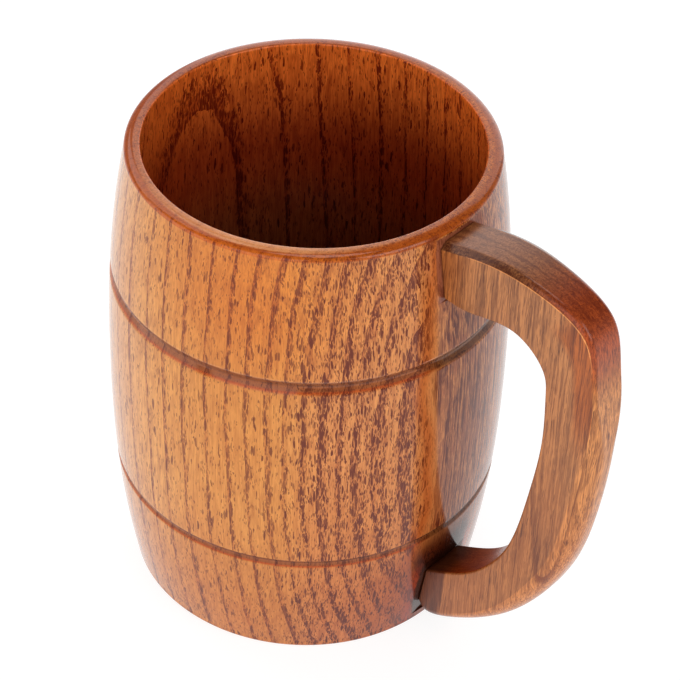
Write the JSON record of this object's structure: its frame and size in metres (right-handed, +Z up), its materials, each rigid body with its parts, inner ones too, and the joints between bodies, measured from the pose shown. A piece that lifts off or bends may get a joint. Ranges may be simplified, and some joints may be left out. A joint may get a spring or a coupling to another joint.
{
  "type": "wooden mug",
  "caption": "Barrel-shaped wooden drinking mug turned from a block, with grooves around its side, a rounded rim and a pegged side handle that leaves room for a whole hand.",
  "frame": {"origin": "Centre of the flat underside that the mug stands on.", "axes": "+Z is up along the turning axis, and +X points from the axis to the handle. +Y completes the right-handed frame."},
  "size_m": [0.1339, 0.0944, 0.12],
  "materials": {
    "body_wood": "lacquered orange-brown wood with dark pores, grain upright",
    "handle_wood": "lacquered brown wood, grain upright along the grip",
    "peg_wood": "plain pale hardwood"
  },
  "bodies": {
    "root": {"mug_body": "body_wood", "handle": "handle_wood", "dowel_upper": "peg_wood", "dowel_lower": "peg_wood"}
  },
  "joints": []
}
